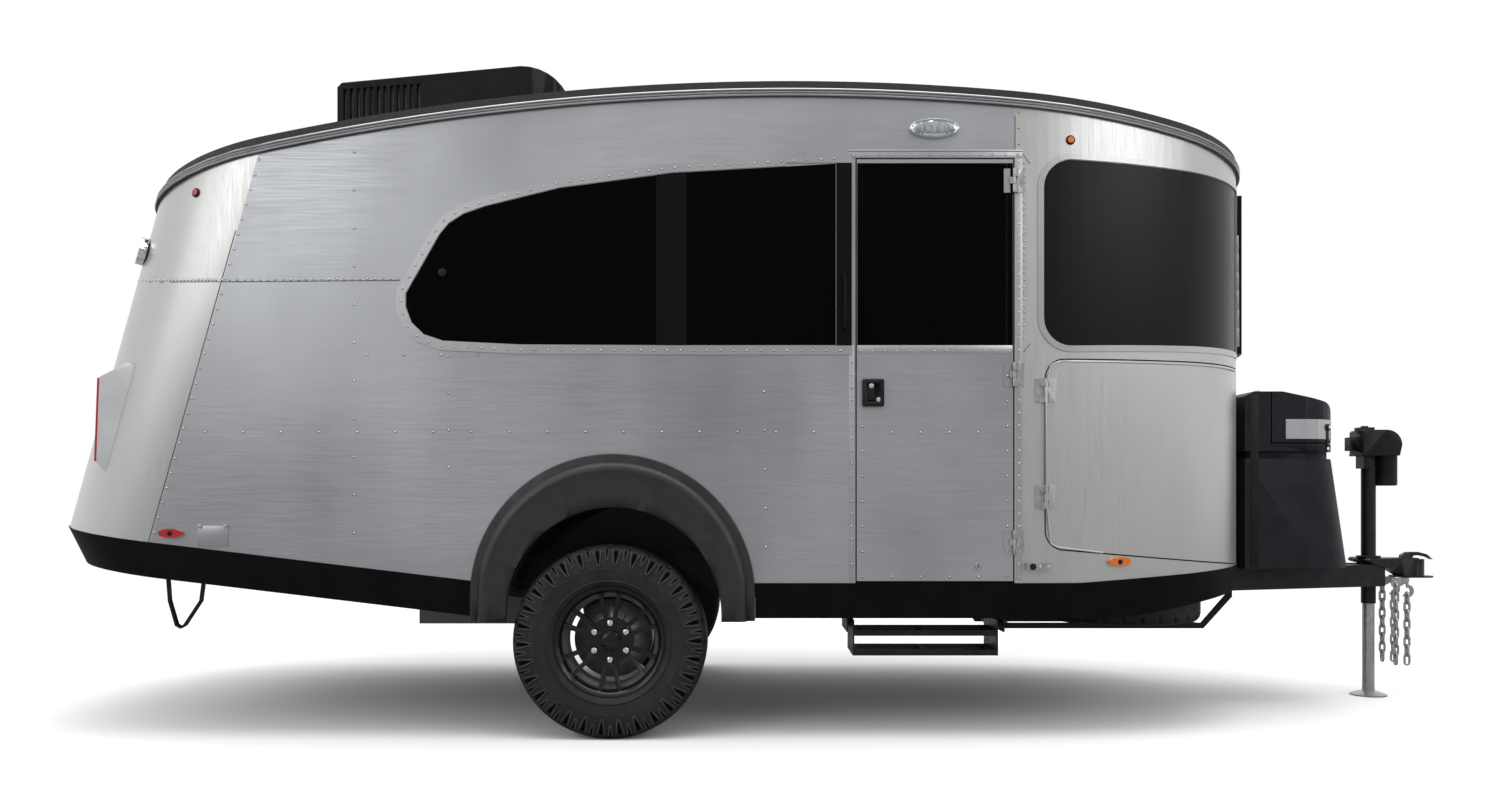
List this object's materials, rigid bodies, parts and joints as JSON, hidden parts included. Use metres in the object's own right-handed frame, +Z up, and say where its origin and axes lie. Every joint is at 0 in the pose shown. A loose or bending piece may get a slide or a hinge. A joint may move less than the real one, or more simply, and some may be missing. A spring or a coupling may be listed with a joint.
{
  "type": "travel caravan",
  "caption": "Single-axle travel caravan with a riveted aluminium shell, black roof, skirts and flares, wrapped dark nose glass, hinged doors and hatch, gas box and tongue jack.",
  "frame": {"origin": "on the ground under the middle of the overall box", "axes": "+X forward to the coupler, +Y to the side without the entry door, +Z up"},
  "size_m": [6.0129, 2.1604, 2.79],
  "materials": {
    "skin": "satin",
    "trim": "brushed",
    "roof_coat": "textured",
    "black_plastic": "grained",
    "gloss_black": "gloss",
    "dark_glass": "tinted",
    "frame_paint": "satin",
    "bare_steel": "zinc",
    "tyre": "matte",
    "tank": "smooth",
    "floor_board": "sealed",
    "bottle": "gloss",
    "lens": "clear red"
  },
  "bodies": {
    "body": {"side_wall_near": "skin", "side_wall_far": "skin", "nose_wall": "skin", "tail_wall": "skin", "roof": "roof_coat", "rain_rail": "trim", "floor": "floor_board", "skirts": "black_plastic", "wheel_flares": "black_plastic", "wheel_wells": "black_plastic", "window_frames": "trim", "window_glass": "dark_glass", "window_pillars": "gloss_black", "tail_lamp_housings": "trim", "lamps": "lens", "air_conditioner": "black_plastic", "chassis_frame": "frame_paint", "water_tanks": "tank", "axle": "frame_paint", "coupler": "frame_paint", "jack_tube": "frame_paint", "jack_leg": "bare_steel", "jack_head": "black_plastic", "gas_box": "black_plastic", "gas_bottles": "bottle", "underbody_brackets": "frame_paint", "spare_tyre": "tyre", "spare_rim": "bare_steel", "safety_chains": "bare_steel", "hinges": "bare_steel"},
    "entry_door": {"entry_door": "skin", "entry_door_glass": "dark_glass", "entry_door_handle": "black_plastic"},
    "storage_door_near": {"storage_door_near": "skin"},
    "storage_door_far": {"storage_door_far": "skin"},
    "tail_hatch": {"tail_hatch": "gloss_black", "tail_hatch_glass": "dark_glass", "tail_hatch_handle": "black_plastic"},
    "gas_lid": {"gas_box_lid": "black_plastic"},
    "wheel_near": {"hub_near": "bare_steel", "rim_near": "gloss_black", "tyre_near": "tyre"},
    "wheel_far": {"hub_far": "bare_steel", "rim_far": "gloss_black", "tyre_far": "tyre"},
    "step_links": {"step_links": "frame_paint"},
    "step_treads": {"step_treads": "frame_paint"}
  },
  "joints": [
    {"name": "wheel_near_spin", "type": "hinge", "parent": "body", "child": "wheel_near", "pos_m": [-0.665, -0.9325, 0.367], "axis": [0, 1, 0], "continuous": true},
    {"name": "wheel_far_spin", "type": "hinge", "parent": "body", "child": "wheel_far", "pos_m": [-0.665, 0.9325, 0.367], "axis": [0, 1, 0], "continuous": true},
    {"name": "entry_door_swing", "type": "hinge", "parent": "body", "child": "entry_door", "pos_m": [0.8595, -1.04, 1.39], "axis": [0, 0, 1], "range_deg": [0, 165]},
    {"name": "storage_near_swing", "type": "hinge", "parent": "body", "child": "storage_door_near", "pos_m": [0.97851, -1.03671, 1.07], "axis": [0, 0, 1], "range_deg": [-95, 0]},
    {"name": "storage_far_swing", "type": "hinge", "parent": "body", "child": "storage_door_far", "pos_m": [0.97851, 1.03671, 1.07], "axis": [0, 0, 1], "range_deg": [0, 95]},
    {"name": "tail_hatch_lift", "type": "hinge", "parent": "body", "child": "tail_hatch", "pos_m": [-2.67664, 0, 1.96065], "axis": [0, 1, 0], "range_deg": [0, 80]},
    {"name": "gas_lid_lift", "type": "hinge", "parent": "body", "child": "gas_lid", "pos_m": [2.0975, 0, 1.378], "axis": [0, 1, 0], "range_deg": [-60, 0]},
    {"name": "step_swing", "type": "hinge", "parent": "body", "child": "step_links", "pos_m": [0.535, -0.96, 0.43], "axis": [1, 0, 0], "range_deg": [-132, 0]},
    {"name": "step_level", "type": "hinge", "parent": "step_links", "child": "step_treads", "pos_m": [0.535, -0.76, 0.43], "axis": [1, 0, 0], "range_deg": [0, 132]}
  ],
  "couplings": [
    {"joint": "step_level", "follows": "step_swing", "ratio": -1}
  ]
}
